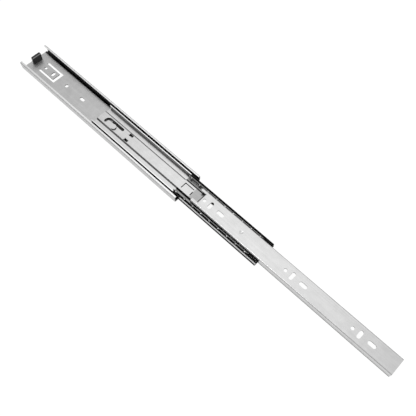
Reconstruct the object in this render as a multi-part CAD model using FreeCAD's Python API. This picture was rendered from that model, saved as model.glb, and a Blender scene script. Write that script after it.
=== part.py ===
"""Full-extension ball-bearing drawer slide, drawn out to its full travel.

Frame: millimetres, origin on the centre of the cabinet member's back face,
+X towards the drawer front, +Y across the slide, +Z from cabinet to drawer.
"""
import FreeCAD
import Part
import math
import os

# Lengths and travel
cabinet_length = 300.0
intermediate_setback = 15.0      # closed slide: bare cabinet member behind the intermediate
drawer_setback = 3.0             # closed slide: bare cabinet member behind the drawer member
intermediate_travel = 126.0      # intermediate out of the cabinet member
drawer_travel = 187.0            # drawer member out of the intermediate

# Section of the slide
cabinet_width = 45.0
cabinet_height = 10.6            # back face to the top of the lips
slide_depth = 12.7               # back face to the drawer face
cabinet_gauge = 1.2
intermediate_gauge = 1.0
drawer_gauge = 1.2
cage_gauge = 0.5
outer_ball_d = 4.5
inner_ball_d = 4.0
ball_clearance = 0.06            # running fit of a ball in its race
pocket_clearance = 0.08          # ball in its cage pocket
sliding_gap = 0.3                # flat faces that pass each other

# Cabinet member: roll-formed channel
cabinet_corner_r = 1.0           # inside radius, web to flange
cabinet_lip_r = 1.1              # inside radius, flange to lip
lip_reach = 1.0                  # flat of the lip past its bend
rear_slant = 4.0                 # how far the foot of each flange end is cut back
web_cutback = 2.2                # web edge in from the flange tips
hole_grid = 32.0
rear_hole_from_end = 69.5
front_hole_steps = 6             # grid steps from the rear screw hole to the front one
cabinet_hole_d = 4.8
cabinet_slot_length = 8.0
cabinet_slot_width = 4.3

# Springy tongue pressed out of the cabinet member's rear end
tongue_start = 20.5
tongue_slot_end = 52.3
tongue_half_width = 6.2
tongue_slot_width = 2.9
tongue_end_gap = 4.8
tongue_hole_from_end = 25.6
tongue_hole_d = 4.2
tongue_slot_from_end = 41.0
tongue_slot_length = 6.8

# Intermediate member: raised centre band, ledges and grooved flanges
band_height = 5.4                # top of the raised band
band_half_width = 6.5            # flat of the band, to the start of its bend
band_slope = 53.0
band_bend_r = 0.8
ledge_height = 3.4               # top of the ledges
intermediate_foot_r = 0.9        # centreline radius of the foot under the outer race
intermediate_top = 9.6
outer_ball_height = 6.3
detent_slot_width = 4.0
detent_arm_y = 3.1
detent_arm_start = 15.5
detent_arm_end = 38.0
detent_hook_r = 4.5
detent_hook_angle = 105.0
detent_dimple_from_end = 26.5
detent_dimple_y = -2.6
detent_dimple_d = 4.6
detent_dimple_height = 0.7
tab_from_end = 50.5
tab_y = 4.8
tab_hole_length = 5.2
tab_width = 3.4
tab_height = 1.7
window_from_front = 102.6        # rear edge of the window, from the intermediate's front
window_length = 38.0
window_half_width = 5.5
window_corner_r = 2.0

# Drawer member: inverted channel with an outward toe under each race
drawer_corner_r = 0.9            # centreline radius, web to flange
inner_ball_height = 7.0
toe_angle = 40.0
toe_length = 0.5
toe_corner_r = 3.0
turndown_r = 1.9                 # centreline radius of the turned-down edge of the rear recess
recess_relief = 0.5              # on each side of the turned-down edge
drawer_hole_from_front = 60.0
drawer_hole_pitches = (0.0, 96.0, 224.0)
drawer_hole_d = 4.6
cross_slot_offset = 10.0
cross_slot_length = 10.4
cross_slot_width = 4.7
long_slot_offset = 26.0
long_slot_length = 10.6
long_slot_width = 5.1
drawer_dimple_offset = 60.0
drawer_dimple_d = 5.0
drawer_dimple_depth = 0.35

# Ball cages
outer_cage_length = 126.0
outer_cage_inset = 14.0          # cage front from the cabinet member's front, slide drawn out
outer_balls_per_row = 9
inner_cage_length = 122.0
inner_cage_inset = 14.5          # cage front from the intermediate's front, slide drawn out
inner_balls_per_row = 9
cage_end_margin = 4.5            # first ball from the end of its cage
cage_corner_r = 1.0
cage_strip_above_ball = 0.5
cage_tongue_length = 15.0
cage_tongue_inset = 3.2
cage_tongue_half_width = 4.6
cage_tongue_cut = 1.2

# Rear bumper: moulded block keyed into the rear of the cabinet member's web
bumper_start = 5.0               # its back, from the flange tips
bumper_depth = 4.7
bumper_half_width = 7.2
bumper_height = 12.4
bumper_round = 1.3
bumper_groove_y = 3.2
bumper_groove_width = 2.2
bumper_groove_depth = 0.7
key_half_length = 5.0
key_width = 2.0
key_clearance = 0.15


# Places that follow from the sizes above
bumper_front = bumper_start + bumper_depth
recess_depth = bumper_front + sliding_gap - drawer_setback
recess_half_width = bumper_half_width + sliding_gap
rear_x = -cabinet_length / 2
front_x = cabinet_length / 2
intermediate_length = cabinet_length - intermediate_setback
intermediate_front = front_x + intermediate_travel
intermediate_rear = intermediate_front - intermediate_length
drawer_length = cabinet_length - drawer_setback
drawer_front = intermediate_front + drawer_travel
drawer_rear = drawer_front - drawer_length
outer_cage_front = front_x - outer_cage_inset
outer_cage_rear = outer_cage_front - outer_cage_length
inner_cage_front = intermediate_front - inner_cage_inset
inner_cage_rear = inner_cage_front - inner_cage_length

cabinet_wall_y = cabinet_width / 2 - cabinet_gauge
outer_ball_y = cabinet_wall_y - ball_clearance - outer_ball_d / 2
outer_race_r = outer_ball_d / 2 + ball_clearance
intermediate_wall_y = outer_ball_y - outer_race_r - intermediate_gauge
inner_race_r = inner_ball_d / 2 + ball_clearance
inner_ball_y = intermediate_wall_y - inner_race_r
drawer_half_width = inner_ball_y - inner_race_r


def section_edges(position, heading, moves, offset, x):
    """Edges of a bent strip's side, at a distance to the left of its centreline."""
    y, z = position
    angle = math.radians(heading)

    def side_point(py, pz, a):
        return FreeCAD.Vector(x, py - offset * math.sin(a), pz + offset * math.cos(a))

    edges = []
    for move in moves:
        start = side_point(y, z, angle)
        if move[0] == "line":
            y += move[1] * math.cos(angle)
            z += move[1] * math.sin(angle)
            edges.append(Part.LineSegment(start, side_point(y, z, angle)).toShape())
        else:
            turn = math.radians(move[2])
            radius = math.copysign(move[1], turn)
            centre_y = y - radius * math.sin(angle)
            centre_z = z + radius * math.cos(angle)
            points = []
            for a in (angle + turn / 2, angle + turn):
                y = centre_y + radius * math.sin(a)
                z = centre_z - radius * math.cos(a)
                points.append(side_point(y, z, a))
            angle += turn
            edges.append(Part.Arc(start, points[0], points[1]).toShape())
    return edges


def end_of(position, heading, moves):
    """Where a strip's centreline ends, and its heading there."""
    y, z = position
    angle = math.radians(heading)
    for move in moves:
        if move[0] == "line":
            y += move[1] * math.cos(angle)
            z += move[1] * math.sin(angle)
        else:
            turn = math.radians(move[2])
            radius = math.copysign(move[1], turn)
            y += radius * (math.sin(angle + turn) - math.sin(angle))
            z += radius * (math.cos(angle) - math.cos(angle + turn))
            angle += turn
    return (y, z), math.degrees(angle)


def formed_member(height, half_moves, gauge, x0, x1):
    """Strip bent the same way on both sides of y = 0 and drawn from x0 to x1.

    half_moves run from the centre line towards +Y along the centreline of the strip.
    """
    (end_y, end_z), end_heading = end_of((0.0, height), 0.0, half_moves)
    outward = half_moves[1:]
    moves = outward[::-1] + [("line", 2 * half_moves[0][1])] + outward
    left = section_edges((-end_y, end_z), -end_heading, moves, gauge / 2, x0)
    right = section_edges((-end_y, end_z), -end_heading, moves, -gauge / 2, x0)
    caps = []
    for side_a, side_b in ((left[0].Vertexes[0], right[0].Vertexes[0]),
                           (left[-1].Vertexes[-1], right[-1].Vertexes[-1])):
        caps.append(Part.LineSegment(side_a.Point, side_b.Point).toShape())
    wire = Part.Wire(Part.__sortEdges__(left + right + caps))
    return Part.Face(wire).extrude(FreeCAD.Vector(x1 - x0, 0, 0))


def step_moves(drop, slope, radius):
    """Bend down by the slope, run down and bend back level, falling by drop in all."""
    rise = math.radians(slope)
    run = (drop - 2 * radius * (1 - math.cos(rise))) / math.sin(rise)
    return [("arc", radius, -slope), ("line", run), ("arc", radius, slope)]


def moves_to(height, half_moves, y_target):
    """Length of level strip that takes the end of half_moves to y_target."""
    (y, _), _ = end_of((0.0, height), 0.0, half_moves)
    return ("line", y_target - y)


def box(x0, x1, y0, y1, z0, z1):
    return Part.makeBox(x1 - x0, y1 - y0, z1 - z0, FreeCAD.Vector(x0, y0, z0))


def round_cutter(x, y, diameter, z0, z1):
    return Part.makeCylinder(diameter / 2, z1 - z0, FreeCAD.Vector(x, y, z0))


def slot_cutter(x, y, length, width, along, z0, z1):
    """Round-ended slot; length is end to end, along is "x" or "y"."""
    half = (length - width) / 2
    if along == "x":
        ends = ((x - half, y), (x + half, y))
        middle = box(x - half, x + half, y - width / 2, y + width / 2, z0, z1)
    else:
        ends = ((x, y - half), (x, y + half))
        middle = box(x - width / 2, x + width / 2, y - half, y + half, z0, z1)
    caps = [round_cutter(cx, cy, width, z0, z1) for cx, cy in ends]
    return middle.fuse(caps).removeSplitter()


def window_cutter(z0, z1):
    """Rounded window through the intermediate and its upper cage, in line when drawn out."""
    rear = intermediate_front - window_from_front
    block = box(rear, rear + window_length, -window_half_width, window_half_width, z0, z1)
    upright = [edge for edge in block.Edges if edge.BoundBox.ZLength > (z1 - z0) / 2]
    return block.makeFillet(window_corner_r, upright)


def spherical_cap(x, y, z_base, diameter, height):
    """Sphere whose cap of this diameter and height stands on z_base (hangs if negative)."""
    deep = abs(height)
    radius = (diameter * diameter / 4 + deep * deep) / (2 * deep)
    centre = z_base + math.copysign(deep - radius, height) if height > 0 else z_base - deep + radius
    return Part.makeSphere(radius, FreeCAD.Vector(x, y, centre))


def ball_places(cage_rear, cage_length, count):
    pitch = (cage_length - 2 * cage_end_margin) / (count - 1)
    return [cage_rear + cage_end_margin + i * pitch for i in range(count)]


def save(name, shape):
    shape.exportStep("parts/" + name + ".step")


def make_cabinet_member():
    corner = cabinet_corner_r + cabinet_gauge / 2
    lip = cabinet_lip_r + cabinet_gauge / 2
    half = [
        ("line", cabinet_wall_y - cabinet_corner_r),
        ("arc", corner, 90.0),
        ("line", cabinet_height - 2 * cabinet_gauge - cabinet_corner_r - cabinet_lip_r),
        ("arc", lip, 90.0),
        ("line", lip_reach),
    ]
    member = formed_member(cabinet_gauge / 2, half, cabinet_gauge, rear_x, front_x)

    # rear end: flange ends slant back to their foot, the web is cut back between them
    wedge = Part.makePolygon([
        FreeCAD.Vector(rear_x - 1, -cabinet_width, cabinet_height),
        FreeCAD.Vector(rear_x, -cabinet_width, cabinet_height),
        FreeCAD.Vector(rear_x + rear_slant, -cabinet_width, 0),
        FreeCAD.Vector(rear_x + rear_slant, -cabinet_width, -1),
        FreeCAD.Vector(rear_x - 1, -cabinet_width, -1),
        FreeCAD.Vector(rear_x - 1, -cabinet_width, cabinet_height),
    ])
    slant = Part.Face(wedge).extrude(FreeCAD.Vector(0, 2 * cabinet_width, 0))
    web_side = cabinet_wall_y - cabinet_corner_r - sliding_gap
    keep_web = box(rear_x + web_cutback, rear_x + rear_slant + 1, -web_side, web_side,
                   -1, cabinet_gauge)
    cutters = [slant.cut(keep_web)]

    # screw holes on the grid: round at both ends, a slot next to each
    span = front_hole_steps * hole_grid
    rear_hole = rear_x + rear_hole_from_end
    for x in (rear_hole, rear_hole + span):
        cutters.append(round_cutter(x, 0, cabinet_hole_d, -1, cabinet_gauge + 1))
    for x in (rear_hole + hole_grid, rear_hole + span - hole_grid):
        cutters.append(slot_cutter(x, 0, cabinet_slot_length, cabinet_slot_width, "x",
                                   -1, cabinet_gauge + 1))

    # adjusting tongue: a U-shaped slot round it and two holes in it
    outer = tongue_half_width + tongue_slot_width
    for side in (-1, 1):
        middle = side * (tongue_half_width + tongue_slot_width / 2)
        length = tongue_slot_end - tongue_start
        cutters.append(slot_cutter(rear_x + tongue_start + length / 2, middle, length,
                                   tongue_slot_width, "x", -1, cabinet_gauge + 1))
    cutters.append(box(rear_x + tongue_slot_end - tongue_end_gap, rear_x + tongue_slot_end,
                       -outer, outer, -1, cabinet_gauge + 1))
    cutters.append(round_cutter(rear_x + tongue_hole_from_end, 0, tongue_hole_d,
                                -1, cabinet_gauge + 1))
    cutters.append(slot_cutter(rear_x + tongue_slot_from_end, 0, tongue_slot_length,
                               cabinet_slot_width, "y", -1, cabinet_gauge + 1))

    # slot for the bumper's key
    cutters.append(bumper_key(key_clearance, -1, cabinet_gauge + 1))
    return member.cut(cutters)


def bumper_key(clearance, z0, z1):
    """Key under the middle of the bumper, grown all round by a clearance."""
    middle = rear_x + bumper_start + bumper_depth / 2
    return box(middle - key_width / 2 - clearance, middle + key_width / 2 + clearance,
               -key_half_length - clearance, key_half_length + clearance, z0, z1)


def make_rear_bumper():
    """Upright block with rounded edges, two grooves down its back and a key below."""
    back = rear_x + bumper_start
    block = box(back, rear_x + bumper_front, -bumper_half_width, bumper_half_width,
                cabinet_gauge, bumper_height)
    rounded = [edge for edge in block.Edges if edge.CenterOfMass.z > 2 * cabinet_gauge]
    block = block.makeFillet(bumper_round, rounded)
    grooves = []
    for side in (-1, 1):
        middle = side * bumper_groove_y
        grooves.append(box(back - 1, back + bumper_groove_depth,
                           middle - bumper_groove_width / 2, middle + bumper_groove_width / 2,
                           0, bumper_height + 1))
    return block.cut(grooves).fuse(bumper_key(0, sliding_gap, cabinet_gauge + 1))


def intermediate_half():
    """Centreline from the band's middle to the top of the flange."""
    mid = band_height - intermediate_gauge / 2
    half = [("line", band_half_width)]
    half += step_moves(band_height - ledge_height, band_slope, band_bend_r)
    race = outer_race_r + intermediate_gauge / 2
    foot_z = ledge_height - intermediate_gauge / 2 + intermediate_foot_r
    lean = math.asin((outer_ball_height - foot_z) / (race + intermediate_foot_r))
    foot_y = outer_ball_y - (race + intermediate_foot_r) * math.cos(lean)
    half.append(moves_to(mid, half, foot_y))
    half.append(("arc", intermediate_foot_r, 90.0 + math.degrees(lean)))
    half.append(("arc", race, -math.degrees(lean)))
    half.append(("line", intermediate_top - outer_ball_height))
    return half


def make_intermediate_member():
    mid = band_height - intermediate_gauge / 2
    member = formed_member(mid, intermediate_half(), intermediate_gauge,
                           intermediate_rear, intermediate_front)
    z0 = band_height - 2 * intermediate_gauge
    z1 = band_height + intermediate_gauge

    # detent: a J-shaped slot frees a springy finger that carries a raised dimple
    start = intermediate_rear + detent_arm_start
    end = intermediate_rear + detent_arm_end
    half_w = detent_slot_width / 2
    arm = box(start, end, detent_arm_y - half_w, detent_arm_y + half_w, z0, z1)
    arm_end = round_cutter(end, detent_arm_y, detent_slot_width, z0, z1)
    centre = FreeCAD.Vector(start, detent_arm_y - detent_hook_r, z0)
    ring_out = Part.makeCylinder(detent_hook_r + half_w, z1 - z0, centre,
                                 FreeCAD.Vector(0, 0, 1), detent_hook_angle)
    ring_in = Part.makeCylinder(detent_hook_r - half_w, z1 - z0, centre)
    hook = ring_out.cut(ring_in)
    hook.rotate(centre, FreeCAD.Vector(0, 0, 1), 90.0)
    tip_angle = math.radians(90.0 + detent_hook_angle)
    tip = round_cutter(centre.x + detent_hook_r * math.cos(tip_angle),
                       centre.y + detent_hook_r * math.sin(tip_angle),
                       detent_slot_width, z0, z1)
    cutters = [arm.fuse([arm_end, hook, tip])]

    # stop tabs lanced out of the band and bent up, in front of their own holes
    added = []
    tab_x = intermediate_rear + tab_from_end
    for side in (-1, 1):
        y0 = side * tab_y - tab_width / 2
        y1 = side * tab_y + tab_width / 2
        cutters.append(box(tab_x, tab_x + tab_hole_length, y0, y1, z0, z1))
        added.append(box(tab_x - intermediate_gauge, tab_x, y0, y1,
                         band_height - intermediate_gauge / 2, band_height + tab_height))

    # screwdriver access to the cabinet member's front screws
    cutters.append(window_cutter(z0, z1))
    member = member.cut(cutters)

    dimple = spherical_cap(intermediate_rear + detent_dimple_from_end, detent_dimple_y,
                           band_height, detent_dimple_d, detent_dimple_height)
    above_band = box(intermediate_rear, intermediate_front, -band_half_width, band_half_width,
                     band_height - intermediate_gauge / 2, band_height + detent_dimple_height + 1)
    added.append(dimple.common(above_band))
    return member.fuse(added).removeSplitter()


def turned_down_edge(bend_x):
    """Front edge of the rear recess, bent down to close flat against the bumper."""
    half_width = recess_half_width - recess_relief
    mid = slide_depth - drawer_gauge / 2
    bottom = band_height + tab_height + sliding_gap
    centre = FreeCAD.Vector(bend_x, 0, mid - turndown_r)

    def arc(radius):
        points = [centre + FreeCAD.Vector(-radius * math.sin(a), 0, radius * math.cos(a))
                  for a in (0, math.pi / 4, math.pi / 2)]
        return Part.Arc(*points).toShape()

    outside = arc(turndown_r + drawer_gauge / 2)
    inside = arc(turndown_r - drawer_gauge / 2)
    corners = [outside.Vertexes[0].Point, inside.Vertexes[0].Point]
    feet = [FreeCAD.Vector(e.Vertexes[1].Point.x, 0, bottom) for e in (outside, inside)]
    edges = [outside, inside, Part.LineSegment(*corners).toShape(),
             Part.LineSegment(*feet).toShape()]
    for edge, foot in zip((outside, inside), feet):
        edges.append(Part.LineSegment(edge.Vertexes[1].Point, foot).toShape())
    profile = Part.Face(Part.Wire(Part.__sortEdges__(edges)))
    profile.translate(FreeCAD.Vector(0, -half_width, 0))
    return profile.extrude(FreeCAD.Vector(0, 2 * half_width, 0))


def make_drawer_member():
    race = inner_race_r + drawer_gauge / 2
    half = [
        ("line", drawer_half_width - drawer_gauge / 2 - drawer_corner_r),
        ("arc", drawer_corner_r, -90.0),
        ("line", slide_depth - drawer_gauge / 2 - drawer_corner_r - inner_ball_height),
        ("arc", race, toe_angle),
        ("line", toe_length),
    ]
    member = formed_member(slide_depth - drawer_gauge / 2, half, drawer_gauge,
                           drawer_rear, drawer_front)
    z0 = slide_depth - 2 * drawer_gauge
    z1 = slide_depth + 1
    bend_x = drawer_rear + recess_depth + turndown_r + drawer_gauge / 2
    cutters = [box(drawer_rear - 1, bend_x, -recess_half_width, recess_half_width, z0, z1)]

    # three groups of screw holes: round, cross slot, long slot
    for pitch in drawer_hole_pitches:
        x = drawer_front - drawer_hole_from_front - pitch
        cutters.append(round_cutter(x, 0, drawer_hole_d, z0, z1))
        cutters.append(slot_cutter(x + cross_slot_offset, 0, cross_slot_length,
                                   cross_slot_width, "y", z0, z1))
        cutters.append(slot_cutter(x + long_slot_offset, 0, long_slot_length,
                                   long_slot_width, "x", z0, z1))

    # shallow centre-punched dimple between the first two groups
    dimple_x = drawer_front - drawer_hole_from_front - drawer_hole_pitches[-1]
    cutters.append(spherical_cap(dimple_x + drawer_dimple_offset, 0, slide_depth,
                                 drawer_dimple_d, -drawer_dimple_depth))

    # front lower corners of the flanges are rounded off
    toe_bottom = member.BoundBox.ZMin
    side = drawer_half_width * 2
    corner = box(drawer_front - toe_corner_r, drawer_front + 1, -side, side,
                 toe_bottom - 1, toe_bottom + toe_corner_r)
    round_part = Part.makeCylinder(
        toe_corner_r, 2 * side,
        FreeCAD.Vector(drawer_front - toe_corner_r, -side, toe_bottom + toe_corner_r),
        FreeCAD.Vector(0, 1, 0))
    cutters.append(corner.cut(round_part))
    return member.cut(cutters).fuse(turned_down_edge(bend_x))


def cage_half(plate_height, plate_half, floor_height, ball_y, top):
    """Cage section: raised plate, steps down, and an upright strip through the balls."""
    half = [("line", plate_half)]
    half += step_moves(plate_height - floor_height, band_slope, band_bend_r)
    half.append(moves_to(plate_height, half, ball_y - cage_corner_r))
    half.append(("arc", cage_corner_r, 90.0))
    half.append(("line", top - floor_height - cage_corner_r))
    return half


def cut_pockets(cage, places, ball_y, ball_height, ball_d):
    pockets = []
    for x in places:
        for side in (-1, 1):
            start = FreeCAD.Vector(x, side * ball_y - ball_d, ball_height)
            pockets.append(Part.makeCylinder(ball_d / 2 + pocket_clearance, 2 * ball_d,
                                             start, FreeCAD.Vector(0, 1, 0)))
    return cage.cut(pockets)


def make_outer_ball_cage():
    """Runs between the cabinet member's web and the underside of the intermediate."""
    plate = band_height - intermediate_gauge - sliding_gap - cage_gauge / 2
    floor = (cabinet_gauge + ledge_height - intermediate_gauge) / 2
    top = outer_ball_height + outer_ball_d / 2 + pocket_clearance + cage_strip_above_ball
    plate_half = band_half_width - intermediate_gauge
    half = cage_half(plate, plate_half, floor, outer_ball_y, top)
    cage = formed_member(plate, half, cage_gauge, outer_cage_rear, outer_cage_front)
    places = ball_places(outer_cage_rear, outer_cage_length, outer_balls_per_row)
    return cut_pockets(cage, places, outer_ball_y, outer_ball_height, outer_ball_d)


def make_inner_ball_cage():
    """Rides over the intermediate's band and ledges, under the drawer member's toes."""
    plate = band_height + sliding_gap + cage_gauge / 2
    floor = ledge_height + sliding_gap + cage_gauge / 2
    top = inner_ball_height + inner_ball_d / 2 + pocket_clearance + cage_strip_above_ball
    plate_half = band_half_width + cage_gauge
    half = cage_half(plate, plate_half, floor, inner_ball_y, top)
    cage = formed_member(plate, half, cage_gauge, inner_cage_rear, inner_cage_front)
    places = ball_places(inner_cage_rear, inner_cage_length, inner_balls_per_row)
    cage = cut_pockets(cage, places, inner_ball_y, inner_ball_height, inner_ball_d)

    # lanced tongue at the rear of the plate: an L-shaped cut and a short slit at its root
    x0 = inner_cage_rear + cage_tongue_inset
    x1 = x0 + cage_tongue_length
    z0 = band_height
    z1 = band_height + sliding_gap + 2 * cage_gauge
    across = box(x0, x0 + cage_tongue_cut, -cage_tongue_half_width, cage_tongue_half_width, z0, z1)
    along = box(x0, x1, cage_tongue_half_width - cage_tongue_cut, cage_tongue_half_width, z0, z1)
    slit = box(x1, x1 + cage_tongue_cut, -cage_tongue_half_width,
               cage_tongue_half_width - 3 * cage_tongue_cut, z0, z1)
    return cage.cut([across, along, slit, window_cutter(z0, z1)])


def save_balls(prefix, cage_rear, cage_length, count, ball_y, ball_height, ball_d):
    """One node a ball, counted from the rear, right row (-Y) and left row (+Y)."""
    for index, x in enumerate(ball_places(cage_rear, cage_length, count), start=1):
        for row, side in (("right", -1), ("left", 1)):
            centre = FreeCAD.Vector(x, side * ball_y, ball_height)
            save(prefix + "_ball_" + row + "_" + str(index),
                 Part.makeSphere(ball_d / 2, centre))


os.makedirs("parts", exist_ok=True)
save("cabinet_member", make_cabinet_member())
save("rear_bumper", make_rear_bumper())
save("intermediate_member", make_intermediate_member())
save("drawer_member", make_drawer_member())
save("outer_ball_cage", make_outer_ball_cage())
save("inner_ball_cage", make_inner_ball_cage())
save_balls("outer", outer_cage_rear, outer_cage_length, outer_balls_per_row,
           outer_ball_y, outer_ball_height, outer_ball_d)
save_balls("inner", inner_cage_rear, inner_cage_length, inner_balls_per_row,
           inner_ball_y, inner_ball_height, inner_ball_d)
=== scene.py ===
import math

import bpy
from mathutils import Matrix, Vector


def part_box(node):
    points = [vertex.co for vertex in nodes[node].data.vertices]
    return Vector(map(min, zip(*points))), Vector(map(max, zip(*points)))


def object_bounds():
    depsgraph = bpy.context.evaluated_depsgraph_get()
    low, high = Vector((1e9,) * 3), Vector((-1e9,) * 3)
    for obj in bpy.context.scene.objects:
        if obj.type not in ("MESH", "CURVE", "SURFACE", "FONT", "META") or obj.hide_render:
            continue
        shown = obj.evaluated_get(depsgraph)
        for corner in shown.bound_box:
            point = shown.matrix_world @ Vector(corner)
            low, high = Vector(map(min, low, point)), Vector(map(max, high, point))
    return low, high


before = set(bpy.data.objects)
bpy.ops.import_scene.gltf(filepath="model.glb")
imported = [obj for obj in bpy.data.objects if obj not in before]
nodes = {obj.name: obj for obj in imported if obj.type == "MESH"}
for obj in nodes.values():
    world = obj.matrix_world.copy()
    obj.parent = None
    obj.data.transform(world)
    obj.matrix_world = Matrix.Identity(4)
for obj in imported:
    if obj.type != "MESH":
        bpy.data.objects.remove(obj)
cad_low, cad_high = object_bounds()
mm = 0.001


# Cabinet member: the fixed channel that is screwed to the cabinet side. Cold-rolled steel strip,
# roll-formed into a C with curled lips, punched through, then barrel plated with bright zinc.
# Its flanges are the races of the big balls, so they carry grease, darkened further as painted
# shade, and a burnished ball track.
cabinet_low, cabinet_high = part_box("cabinet_member")
cabinet_gauge = 1.2 * mm
cabinet_race_depth = 6.0 * mm
cabinet_lip_top = 1.1 * mm
outer_ball_height = 6.3 * mm
web_half_width = 7.3 * mm
# painted highlight: the lighter colour of the lip tops, and how fast it fades in
lip_highlight_colour = "#ececec"
lip_highlight_fade = 0.4 * mm
# grease and painted shade: the dark colour of the races, of metal under a cage and of hole walls
# and bends, and its fade
grease_and_shade_colour = "#202020"
grease_and_shade_fade = 0.8 * mm
thinning_length = 8 * mm
thinned_share = 0.4
race_edge = 0.15 * mm
lip_underside = 2.4 * mm
lip_edge = 3.2 * mm
track_half_width = 0.25 * mm
track_edge = 0.5 * mm
side_margin = 0.002
# painted shade on the web's hole walls and bends: faces tilted past these slopes get this much
# dark
bend_slope = 0.86
flat_slope = 0.97
wall_painted_shade = 0.95
wet_roughness = 0.14
# the lines from the rolls and the grain of the plating are finer on real strip; they are drawn
# as coarse as they need to be to show
roll_line_width = 0.45 * mm
roll_line_length = 70 * mm
grain_size = 0.25 * mm
cloud_size = 9 * mm


def linear(hex_colour):
    """An sRGB hex colour as linear RGBA."""
    shares = [int(hex_colour[i:i + 2], 16) / 255 for i in (1, 3, 5)]
    return [c / 12.92 if c <= 0.04045 else ((c + 0.055) / 1.055) ** 2.4 for c in shares] + [1.0]


def add(tree, kind, settings, inputs):
    """One shader node with its settings; each input is given a value or a socket to link."""
    made = tree.nodes.new(kind)
    for name, value in settings.items():
        setattr(made, name, value)
    for socket, value in inputs.items():
        if isinstance(value, bpy.types.NodeSocket):
            tree.links.new(value, made.inputs[socket])
        else:
            made.inputs[socket].default_value = value
    return made


def new_material(name):
    """An empty node material and its tree."""
    material = bpy.data.materials.new(name)
    material.use_nodes = True
    material.node_tree.nodes.clear()
    return material, material.node_tree


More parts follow.
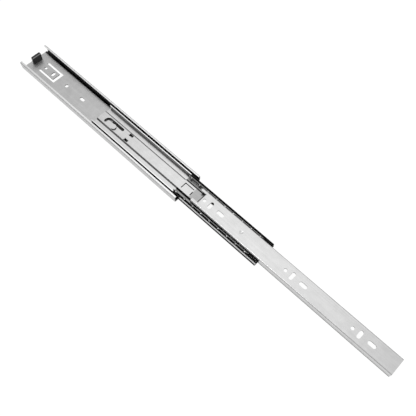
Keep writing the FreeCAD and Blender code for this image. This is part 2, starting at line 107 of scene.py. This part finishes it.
def zinc_plated_strip(name, bright, dull, race_side, race_from, race_to, ball_height,
                      grease_and_shade_from, film, lip_highlight_above, covered_from, satin_low, satin_high):
    """Bright zinc on rolled strip steel.

    Satin metal with lines along the strip from the rolls, a faint cloudiness from the plating
    bath, and in the races (a range of distance from the middle, on the strip's inner side, -1,
    or outer side, 1) a dark film, grease and painted shade, with a burnished track at the
    balls' height. The film is full from one place along the strip forwards, and thinner behind
    it. Lips above a height get a painted highlight, a lighter colour. From the place where a
    cage begins to cover it, all up-facing metal is darkened as painted shade. The walls of
    punched holes and the bends in the web are darkened as painted shade. Cut ends are coarser.
    """
    material, tree = new_material(name)
    place = add(tree, "ShaderNodeTexCoord", {}, {})
    along = add(tree, "ShaderNodeMapping", {}, {
        "Vector": place.outputs["Object"],
        "Scale": (1 / roll_line_length, 1 / roll_line_width, 1 / roll_line_width)})
    lines = add(tree, "ShaderNodeTexNoise", {}, {
        "Vector": along.outputs[0], "Scale": 1.0, "Detail": 3.0, "Roughness": 0.6})
    wide = add(tree, "ShaderNodeMapping", {}, {
        "Vector": place.outputs["Object"],
        "Scale": (0.3 / roll_line_length, 0.2 / roll_line_width, 0.2 / roll_line_width)})
    bands = add(tree, "ShaderNodeTexNoise", {}, {
        "Vector": wide.outputs[0], "Scale": 1.0, "Detail": 2.0})
    clouds = add(tree, "ShaderNodeTexNoise", {}, {
        "Vector": place.outputs["Object"], "Scale": 1 / cloud_size, "Detail": 4.0,
        "Roughness": 0.55})
    grain = add(tree, "ShaderNodeTexNoise", {}, {
        "Vector": place.outputs["Object"], "Scale": 1 / grain_size, "Detail": 2.0})

    # plating colour: cloudy, with long bands
    mottle = add(tree, "ShaderNodeMath", {"operation": "MULTIPLY_ADD"}, {
        0: clouds.outputs[0], 1: 0.6, 2: 0.0})
    blend = add(tree, "ShaderNodeMath", {"operation": "MULTIPLY_ADD"}, {
        0: bands.outputs[0], 1: 0.4, 2: mottle.outputs[0]})
    spread = add(tree, "ShaderNodeMapRange", {}, {
        0: blend.outputs[0], 1: 0.35, 2: 0.65, 3: 0.0, 4: 1.0})
    plated = add(tree, "ShaderNodeMix", {"data_type": "RGBA"}, {
        0: spread.outputs[0], 6: linear(dull), 7: linear(bright)})
    axes = add(tree, "ShaderNodeSeparateXYZ", {}, {0: place.outputs["Object"]})
    # painted highlight: lips above a height are painted brighter
    rolled = add(tree, "ShaderNodeMapRange", {"interpolation_type": "SMOOTHSTEP"}, {
        0: axes.outputs[2], 1: lip_highlight_above, 2: lip_highlight_above + lip_highlight_fade, 3: 0.0, 4: 1.0})
    zinc = add(tree, "ShaderNodeMix", {"data_type": "RGBA"}, {
        0: rolled.outputs[0], 6: plated.outputs[2], 7: linear(lip_highlight_colour)})

    # races: a window in the distance from the middle and below the lip, on the race's side of
    # the strip, where a face that looks neither way counts too, darkened as grease and painted
    # shade; the clouds break it up
    out = add(tree, "ShaderNodeMath", {"operation": "ABSOLUTE"}, {0: axes.outputs[1]})
    inner = add(tree, "ShaderNodeMapRange", {"interpolation_type": "SMOOTHSTEP"}, {
        0: out.outputs[0], 1: race_from, 2: race_from + grease_and_shade_fade, 3: 0.0, 4: 1.0})
    outer = add(tree, "ShaderNodeMapRange", {"interpolation_type": "SMOOTHSTEP"}, {
        0: out.outputs[0], 1: race_to, 2: race_to + race_edge, 3: 1.0, 4: 0.0})
    band = add(tree, "ShaderNodeMath", {"operation": "MULTIPLY"}, {
        0: inner.outputs[0], 1: outer.outputs[0]})
    rise = add(tree, "ShaderNodeMath", {"operation": "SUBTRACT"}, {
        0: axes.outputs[2], 1: ball_height})
    away = add(tree, "ShaderNodeMath", {"operation": "ABSOLUTE"}, {0: rise.outputs[0]})
    below_lip = add(tree, "ShaderNodeMapRange", {"interpolation_type": "SMOOTHSTEP"}, {
        0: rise.outputs[0], 1: lip_underside, 2: lip_edge, 3: 1.0, 4: 0.0})
    facing = add(tree, "ShaderNodeSeparateXYZ", {}, {0: place.outputs["Normal"]})
    outward = add(tree, "ShaderNodeMath", {"operation": "MULTIPLY"}, {
        0: axes.outputs[1], 1: facing.outputs[1]})
    turned = add(tree, "ShaderNodeMath", {"operation": "MULTIPLY"}, {
        0: outward.outputs[0], 1: race_side})
    on_side = add(tree, "ShaderNodeMath", {"operation": "GREATER_THAN"}, {
        0: turned.outputs[0], 1: -side_margin})
    top_side = add(tree, "ShaderNodeMath", {"operation": "GREATER_THAN"}, {
        0: facing.outputs[2], 1: -0.5})
    near = add(tree, "ShaderNodeMath", {"operation": "MULTIPLY"}, {
        0: below_lip.outputs[0], 1: on_side.outputs[0]})
    held = add(tree, "ShaderNodeMath", {"operation": "MULTIPLY"}, {
        0: near.outputs[0], 1: top_side.outputs[0]})
    greased_and_shaded = add(tree, "ShaderNodeMath", {"operation": "MULTIPLY"}, {
        0: band.outputs[0], 1: held.outputs[0]})
    track = add(tree, "ShaderNodeMapRange", {"interpolation_type": "SMOOTHSTEP"}, {
        0: away.outputs[0], 1: track_half_width, 2: track_edge, 3: 1.0, 4: 0.0})
    burnished = add(tree, "ShaderNodeMath", {"operation": "MULTIPLY"}, {
        0: track.outputs[0], 1: greased_and_shaded.outputs[0]})
    unworn = add(tree, "ShaderNodeMath", {"operation": "SUBTRACT"}, {
        0: greased_and_shaded.outputs[0], 1: burnished.outputs[0]})
    smear = add(tree, "ShaderNodeMapRange", {}, {
        0: clouds.outputs[0], 1: 0.3, 2: 0.7, 3: 0.9 * film, 4: film})
    reached = add(tree, "ShaderNodeMapRange", {"interpolation_type": "SMOOTHSTEP"}, {
        0: axes.outputs[0], 1: grease_and_shade_from - thinning_length, 2: grease_and_shade_from,
        3: thinned_share, 4: 1.0})
    spread_film = add(tree, "ShaderNodeMath", {"operation": "MULTIPLY"}, {
        0: unworn.outputs[0], 1: smear.outputs[0]})
    grease = add(tree, "ShaderNodeMath", {"operation": "MULTIPLY"}, {
        0: spread_film.outputs[0], 1: reached.outputs[0]})

    # painted shade on metal beside and under a cage, then on hole walls and bends: the web's
    # faces that aren't flat
    upward = add(tree, "ShaderNodeMath", {"operation": "GREATER_THAN"}, {
        0: facing.outputs[2], 1: 0.2})
    covered = add(tree, "ShaderNodeMapRange", {}, {
        0: axes.outputs[0], 1: covered_from, 2: covered_from + grease_and_shade_fade, 3: 0.0, 4: 1.0})
    painted_shade_under_cage = add(tree, "ShaderNodeMath", {"operation": "MULTIPLY"}, {
        0: upward.outputs[0], 1: covered.outputs[0]})
    level = add(tree, "ShaderNodeMath", {"operation": "ABSOLUTE"}, {0: facing.outputs[2]})
    tilted = add(tree, "ShaderNodeMapRange", {}, {
        0: level.outputs[0], 1: bend_slope, 2: flat_slope, 3: wall_painted_shade, 4: 0.0})
    middle = add(tree, "ShaderNodeMath", {"operation": "LESS_THAN"}, {
        0: out.outputs[0], 1: web_half_width})
    punched = add(tree, "ShaderNodeMath", {"operation": "MULTIPLY"}, {
        0: tilted.outputs[0], 1: middle.outputs[0]})
    grease_and_shade = add(tree, "ShaderNodeMath", {"operation": "MAXIMUM"}, {
        0: grease.outputs[0], 1: painted_shade_under_cage.outputs[0]})
    dark = add(tree, "ShaderNodeMath", {"operation": "MAXIMUM"}, {
        0: grease_and_shade.outputs[0], 1: punched.outputs[0]})
    # the dark colour mixed in here is grease and painted shade
    colour = add(tree, "ShaderNodeMix", {"data_type": "RGBA"}, {
        0: dark.outputs[0], 6: zinc.outputs[2], 7: linear(grease_and_shade_colour)})

    # cut ends: faces that look along the strip
    end = add(tree, "ShaderNodeMath", {"operation": "ABSOLUTE"}, {0: facing.outputs[0]})
    cut = add(tree, "ShaderNodeMapRange", {}, {
        0: end.outputs[0], 1: 0.8, 2: 0.95, 3: 0.0, 4: 0.2})

    satin = add(tree, "ShaderNodeMapRange", {}, {
        0: lines.outputs[0], 1: 0.3, 2: 0.7, 3: satin_low, 4: satin_high})
    coarse = add(tree, "ShaderNodeMath", {"operation": "ADD"}, {
        0: satin.outputs[0], 1: cut.outputs[0]})
    wet = add(tree, "ShaderNodeMath", {"operation": "MULTIPLY_ADD", "use_clamp": True}, {
        0: greased_and_shaded.outputs[0], 1: -satin_low, 2: coarse.outputs[0]})
    polish = add(tree, "ShaderNodeMath", {"operation": "MAXIMUM"}, {
        0: wet.outputs[0], 1: wet_roughness})
    texture = add(tree, "ShaderNodeMath", {"operation": "MULTIPLY_ADD"}, {
        0: grain.outputs[0], 1: 0.35, 2: lines.outputs[0]})
    bump = add(tree, "ShaderNodeBump", {}, {
        "Strength": 0.12, "Distance": 0.006 * mm, "Height": texture.outputs[0]})
    shader = add(tree, "ShaderNodeBsdfPrincipled", {}, {
        "Base Color": colour.outputs[2], "Metallic": 1.0, "Roughness": polish.outputs[0],
        "Normal": bump.outputs[0]})
    add(tree, "ShaderNodeOutputMaterial", {}, {"Surface": shader.outputs[0]})
    return material


def finish_node(node_name, material):
    """Gives every material slot of a CAD node this material."""
    for slot in nodes[node_name].material_slots:
        slot.material = material


# what the outer cage covers of this strip is out of sight and left plain, so covered_from is its
# front end
finish_node("cabinet_member", zinc_plated_strip(
    "bright_zinc_cabinet_strip", bright="#c8c8c8", dull="#bcbcbc", race_side=-1,
    race_from=cabinet_high.y - cabinet_race_depth, race_to=cabinet_high.y - cabinet_gauge,
    ball_height=outer_ball_height, grease_and_shade_from=cabinet_low.x, film=1.0,
    lip_highlight_above=cabinet_high.z - cabinet_lip_top, covered_from=cabinet_high.x,
    satin_low=0.38, satin_high=0.48))


# Rear bumper: an upright block with a key pushed into a slot of the cabinet member's web; the
# drawer member's turned-down edge shuts against it. Injection-moulded black elastomer. Its
# grain from the mould is drawn coarser than the real one, as coarse as it needs to be to show.
spark_grain = 0.35 * mm
dust_patch = 6 * mm
# where the painted highlight along the front top edge begins and is full
turning_from = 0.15
turned_to = 0.4


def moulded_elastomer(name):
    """Black TPE: near black, a spark-eroded grain from the mould, softly shiny, and a painted
    highlight, light grey, along the front top edge."""
    material, tree = new_material(name)
    place = add(tree, "ShaderNodeTexCoord", {}, {})
    grain = add(tree, "ShaderNodeTexNoise", {}, {
        "Vector": place.outputs["Object"], "Scale": 1 / spark_grain, "Detail": 3.0})
    dust = add(tree, "ShaderNodeTexNoise", {}, {
        "Vector": place.outputs["Object"], "Scale": 1 / dust_patch, "Detail": 5.0})
    colour = add(tree, "ShaderNodeMix", {"data_type": "RGBA"}, {
        0: dust.outputs[0], 6: linear("#0d0d0d"), 7: linear("#1c1c1c")})
    facing = add(tree, "ShaderNodeSeparateXYZ", {}, {0: place.outputs["Normal"]})
    forward = add(tree, "ShaderNodeMapRange", {}, {
        0: facing.outputs[0], 1: turning_from, 2: turned_to, 3: 0.0, 4: 1.0})
    upward = add(tree, "ShaderNodeMapRange", {}, {
        0: facing.outputs[2], 1: turning_from, 2: turned_to, 3: 0.0, 4: 1.0})
    # painted highlight along the front top edge, where the faces turn forwards and up
    edge_highlight = add(tree, "ShaderNodeMath", {"operation": "MULTIPLY"}, {
        0: forward.outputs[0], 1: upward.outputs[0]})
    with_edge_highlight = add(tree, "ShaderNodeMix", {"data_type": "RGBA"}, {
        0: edge_highlight.outputs[0], 6: colour.outputs[2], 7: linear("#8a8a8a")})
    gloss = add(tree, "ShaderNodeMapRange", {}, {
        0: dust.outputs[0], 1: 0.3, 2: 0.7, 3: 0.3, 4: 0.44})
    bump = add(tree, "ShaderNodeBump", {}, {
        "Strength": 0.3, "Distance": 0.03 * mm, "Height": grain.outputs[0]})
    shader = add(tree, "ShaderNodeBsdfPrincipled", {}, {
        "Base Color": with_edge_highlight.outputs[2], "Roughness": gloss.outputs[0],
        "Normal": bump.outputs[0]})
    add(tree, "ShaderNodeOutputMaterial", {}, {"Surface": shader.outputs[0]})
    return material


finish_node("rear_bumper", moulded_elastomer("moulded_black_elastomer"))


# Intermediate member: the floating channel between the two others, with a raised centre band.
# Cold-rolled strip as the cabinet member, 1 mm thick, races inside and outside its flanges.
# Its inner races carry grease and painted shade, and its band gets painted shade under the inner
# cage, from the rear of the inner cage forwards.
intermediate_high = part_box("intermediate_member")[1]
cage_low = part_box("inner_ball_cage")[0]
intermediate_race_depth = 4.3 * mm
intermediate_lip_top = 0.5 * mm
past_flange = 0.1 * mm
cage_overlap = 1 * mm
finish_node("intermediate_member", zinc_plated_strip(
    "bright_zinc_intermediate_strip", bright="#cdcdcd", dull="#c1c1c1", race_side=-1,
    race_from=intermediate_high.y - intermediate_race_depth,
    race_to=intermediate_high.y + past_flange, ball_height=outer_ball_height,
    grease_and_shade_from=cage_low.x, film=1.0,
    lip_highlight_above=intermediate_high.z - intermediate_lip_top,
    covered_from=cage_low.x + cage_overlap, satin_low=0.24, satin_high=0.34))


# Drawer member: the inner channel that is screwed to the drawer. Cold-rolled strip, three groups
# of punched screw holes, bright zinc, its flanges grooved outside for the small balls. Its race
# film of grease and painted shade is faint, its flanges point down so no lip gets the painted
# highlight, and nothing covers its web.
drawer_low, drawer_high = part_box("drawer_member")
inner_ball_height = 7.0 * mm
drawer_race_depth = 1.3 * mm
finish_node("drawer_member", zinc_plated_strip(
    "bright_zinc_drawer_strip", bright="#cecece", dull="#c4c4c4", race_side=1,
    race_from=drawer_high.y - drawer_race_depth, race_to=drawer_high.y + past_flange,
    ball_height=inner_ball_height, grease_and_shade_from=drawer_low.x, film=0.15,
    lip_highlight_above=drawer_high.z, covered_from=drawer_high.x,
    satin_low=0.28, satin_high=0.38))


# Ball cages: two thin channels that keep the balls apart, one under the intermediate member and
# one over it. Pressed from 0.5 mm strip and pierced; their sides are nearly black, grease with
# painted shade, and so is all of the lower one, while the upper one's plate is left plain as far
# as its lanced tongue and darkened past it as painted shade.
plate_half_width = 7.1 * mm
# how far the upper cage's plate stays free of painted shade
unshaded_length = 18.6 * mm
nowhere_unshaded = -1 * mm
scuff_length = 12 * mm
patch_size = 5 * mm
# widths of the painted shade in the step beside the plate, and the fade and strength of the
# painted shade past the tongue
step_edge = 0.4 * mm
step_from = 2.2 * mm
step_to = 3.0 * mm
shade_past_tongue_fade = 0.8 * mm
shade_past_tongue_share = 0.42


def pressed_cage_strip(name, unshaded_half_width, unshaded_to, side_film):
    """Cold-rolled cage strip: grey and even where plain, with short press scuffs, and nearly
    black where grease and painted shade stand, smooth and wet where the grease is."""
    material, tree = new_material(name)
    place = add(tree, "ShaderNodeTexCoord", {}, {})
    along = add(tree, "ShaderNodeMapping", {}, {
        "Vector": place.outputs["Object"],
        "Scale": (1 / scuff_length, 1 / roll_line_width, 1 / roll_line_width)})
    scuffs = add(tree, "ShaderNodeTexNoise", {}, {
        "Vector": along.outputs[0], "Scale": 1.0, "Detail": 4.0, "Roughness": 0.65})
    clouds = add(tree, "ShaderNodeTexNoise", {}, {
        "Vector": place.outputs["Object"], "Scale": 1 / patch_size, "Detail": 4.0})
    unshaded_strip = add(tree, "ShaderNodeMix", {"data_type": "RGBA"}, {
        0: clouds.outputs[0], 6: linear("#bcbcbc"), 7: linear("#cccccc")})

    # grease and painted shade: black in the step beside the plate and underneath, as painted
    # shade, grease thinner on the side floors, and painted shade on the plate past the tongue
    axes = add(tree, "ShaderNodeSeparateXYZ", {}, {0: place.outputs["Object"]})
    out = add(tree, "ShaderNodeMath", {"operation": "ABSOLUTE"}, {0: axes.outputs[1]})
    beside = add(tree, "ShaderNodeMapRange", {"interpolation_type": "SMOOTHSTEP"}, {
        0: out.outputs[0], 1: unshaded_half_width, 2: unshaded_half_width + step_edge,
        3: 0.0, 4: 1.0})
    past_step = add(tree, "ShaderNodeMapRange", {"interpolation_type": "SMOOTHSTEP"}, {
        0: out.outputs[0], 1: unshaded_half_width + step_from, 2: unshaded_half_width + step_to,
        3: 1.0, 4: side_film})
    sides = add(tree, "ShaderNodeMath", {"operation": "MULTIPLY"}, {
        0: beside.outputs[0], 1: past_step.outputs[0]})
    facing = add(tree, "ShaderNodeSeparateXYZ", {}, {0: place.outputs["Normal"]})
    # painted shade on faces that look down
    under = add(tree, "ShaderNodeMapRange", {}, {
        0: facing.outputs[2], 1: -0.2, 2: -0.6, 3: 0.0, 4: 1.0})
    thick = add(tree, "ShaderNodeMath", {"operation": "MAXIMUM"}, {
        0: sides.outputs[0], 1: under.outputs[0]})
    # painted shade on the plate past the tongue
    painted_shade_past_tongue = add(tree, "ShaderNodeMapRange", {"interpolation_type": "SMOOTHSTEP"}, {
        0: axes.outputs[0], 1: unshaded_to, 2: unshaded_to + shade_past_tongue_fade, 3: 0.0, 4: shade_past_tongue_share})
    wet = add(tree, "ShaderNodeMath", {"operation": "MAXIMUM"}, {
        0: thick.outputs[0], 1: painted_shade_past_tongue.outputs[0]})
    # the dark colour is grease and painted shade
    colour = add(tree, "ShaderNodeMix", {"data_type": "RGBA"}, {
        0: wet.outputs[0], 6: unshaded_strip.outputs[2], 7: linear("#2c2c2b")})

    gloss = add(tree, "ShaderNodeMapRange", {}, {
        0: scuffs.outputs[0], 1: 0.3, 2: 0.7, 3: 0.2, 4: 0.34})
    bump = add(tree, "ShaderNodeBump", {}, {
        "Strength": 0.25, "Distance": 0.01 * mm, "Height": scuffs.outputs[0]})
    shader = add(tree, "ShaderNodeBsdfPrincipled", {}, {
        "Base Color": colour.outputs[2], "Metallic": 1.0, "Roughness": gloss.outputs[0],
        "Normal": bump.outputs[0]})
    add(tree, "ShaderNodeOutputMaterial", {}, {"Surface": shader.outputs[0]})
    return material


finish_node("outer_ball_cage", pressed_cage_strip(
    "greased_shaded_cage_strip", unshaded_half_width=nowhere_unshaded, unshaded_to=cabinet_low.x,
    side_film=1.0))
finish_node("inner_ball_cage", pressed_cage_strip(
    "cage_strip_shaded_past_tongue", unshaded_half_width=plate_half_width,
    unshaded_to=cage_low.x + unshaded_length, side_film=0.6))


# Balls: ground and lapped chrome steel, nine in each of the four rows, wet with grease. Real
# lapping scratches are far finer; they are drawn as coarse as they need to be to show.
lapping_size = 0.3 * mm
smear_size = 2 * mm


def lapped_chrome_steel(name, bright, dull):
    """Bearing steel: mirror bright, with faint lapping scratches, and darker colours for the
    deeper rows, which are grease and painted shade."""
    material, tree = new_material(name)
    place = add(tree, "ShaderNodeTexCoord", {}, {})
    lapping = add(tree, "ShaderNodeTexNoise", {}, {
        "Vector": place.outputs["Object"], "Scale": 1 / lapping_size, "Detail": 5.0,
        "Distortion": 1.5})
    smear = add(tree, "ShaderNodeTexNoise", {}, {
        "Vector": place.outputs["Object"], "Scale": 1 / smear_size, "Detail": 3.0})
    colour = add(tree, "ShaderNodeMix", {"data_type": "RGBA"}, {
        0: smear.outputs[0], 6: linear(dull), 7: linear(bright)})
    gloss = add(tree, "ShaderNodeMapRange", {}, {
        0: lapping.outputs[0], 1: 0.3, 2: 0.7, 3: 0.05, 4: 0.16})
    shader = add(tree, "ShaderNodeBsdfPrincipled", {}, {
        "Base Color": colour.outputs[2], "Metallic": 1.0, "Roughness": gloss.outputs[0]})
    add(tree, "ShaderNodeOutputMaterial", {}, {"Surface": shader.outputs[0]})
    return material


# the outer rows get dark colours for grease and painted shade
outer_steel = lapped_chrome_steel("greased_shaded_chrome_steel", bright="#4c4c4c", dull="#2e2e2e")
inner_steel = lapped_chrome_steel("lapped_chrome_steel", bright="#c4c4c4", dull="#9c9c9c")
for node_name in nodes:
    if node_name.startswith(("outer_ball_right", "outer_ball_left")):
        finish_node(node_name, outer_steel)
    if node_name.startswith(("inner_ball_right", "inner_ball_left")):
        finish_node(node_name, inner_steel)


# Studio: an opal table just under the slide, grey but lit from below so that it stays pale; a
# dome that is brightest in a patch near its top, falls off towards a dim horizon and is nearly
# dark behind the slide, though the camera sees it even and pale; and one soft light overhead.
floor_size = 12.0
floor_drop = 0.3 * mm
floor_glow = 0.93
bpy.ops.object.select_all(action="DESELECT")
bpy.ops.mesh.primitive_plane_add(size=floor_size, location=(0, 0, cad_low.z - floor_drop))
floor = bpy.context.object
floor.name = "studio_floor"
floor_paint, floor_tree = new_material("lit_opal_table")
floor_shader = add(floor_tree, "ShaderNodeBsdfPrincipled", {}, {
    "Base Color": linear("#6e6e6e"), "Roughness": 0.9, "Specular IOR Level": 0.1,
    "Emission Color": linear("#ffffff"), "Emission Strength": floor_glow})
add(floor_tree, "ShaderNodeOutputMaterial", {}, {"Surface": floor_shader.outputs[0]})
floor.data.materials.append(floor_paint)

ceiling_axis = Vector((-0.24, 0.35, 0.905)).normalized()
ceiling_rim = math.radians(26)
ceiling_core = math.radians(6)
ceiling_dim = 0.7
ceiling_bright = 1.52
horizon_from = math.radians(16)
horizon_to = math.radians(44)
wall_behind = 0.02
wall_before = 0.5
backdrop_seen = 0.95
scene = bpy.context.scene
scene.view_settings.view_transform = "Standard"
world = bpy.data.worlds.new("studio_dome")
scene.world = world
world.use_nodes = True
dome = world.node_tree
dome.nodes.clear()
direction = add(dome, "ShaderNodeTexCoord", {}, {})
split = add(dome, "ShaderNodeSeparateXYZ", {}, {0: direction.outputs["Generated"]})
low_wall = add(dome, "ShaderNodeMapRange", {"interpolation_type": "SMOOTHSTEP"}, {
    0: split.outputs[0], 1: -0.9, 2: -0.5, 3: wall_behind, 4: wall_before})
horizon = add(dome, "ShaderNodeMapRange", {"interpolation_type": "SMOOTHSTEP"}, {
    0: split.outputs[2], 1: math.sin(horizon_from), 2: math.sin(horizon_to),
    3: low_wall.outputs[0], 4: 1.0})
towards = add(dome, "ShaderNodeVectorMath", {"operation": "DOT_PRODUCT"}, {
    0: direction.outputs["Generated"], 1: ceiling_axis})
ceiling = add(dome, "ShaderNodeMapRange", {"interpolation_type": "SMOOTHSTEP"}, {
    0: towards.outputs["Value"], 1: math.cos(ceiling_rim), 2: math.cos(ceiling_core),
    3: ceiling_dim, 4: ceiling_bright})
lit = add(dome, "ShaderNodeMath", {"operation": "MULTIPLY"}, {
    0: horizon.outputs[0], 1: ceiling.outputs[0]})
seen = add(dome, "ShaderNodeLightPath", {}, {})
shown = add(dome, "ShaderNodeMix", {}, {
    0: seen.outputs["Is Camera Ray"], 2: lit.outputs[0], 3: backdrop_seen})
glow = add(dome, "ShaderNodeBackground", {}, {0: linear("#ffffff"), 1: shown.outputs[0]})
add(dome, "ShaderNodeOutputWorld", {}, {0: glow.outputs[0]})

softbox_side = 0.35
softbox_watts = 5.0
softbox_place = (-0.2, -0.35, 1.95)
softbox_data = bpy.data.lights.new("overhead_softbox", "AREA")
softbox_data.shape = "SQUARE"
softbox_data.size = softbox_side
softbox_data.energy = softbox_watts
softbox = bpy.data.objects.new("overhead_softbox", softbox_data)
scene.collection.objects.link(softbox)
softbox.location = softbox_place
softbox.rotation_mode = "QUATERNION"
softbox.rotation_quaternion = softbox.location.to_track_quat("Z", "Y")

# Camera: above the slide's free side, looking down along it.
camera_azimuth = math.radians(42.01)
camera_elevation = math.radians(62.72)
camera_roll = math.radians(2.17)
camera_distance = 0.7183
camera_lens = 51.04
camera_aim = Vector((0.1846, 0.0005, 0.0))
back = Vector((math.sin(camera_azimuth) * math.cos(camera_elevation),
               -math.cos(camera_azimuth) * math.cos(camera_elevation),
               math.sin(camera_elevation)))
level = Vector((math.cos(camera_azimuth), math.sin(camera_azimuth), 0.0))
turn = Matrix.Rotation(camera_roll, 3, back)
right = turn @ level
up = turn @ back.cross(level)
camera_data = bpy.data.cameras.new("camera")
camera_data.lens = camera_lens
camera = bpy.data.objects.new("camera", camera_data)
scene.collection.objects.link(camera)
camera.rotation_mode = "QUATERNION"
camera.rotation_quaternion = Matrix((right, up, back)).transposed().to_quaternion()
camera.location = camera_aim + camera_distance * back
camera_data.clip_start = 0.01
camera_data.clip_end = 50.0
scene.camera = camera
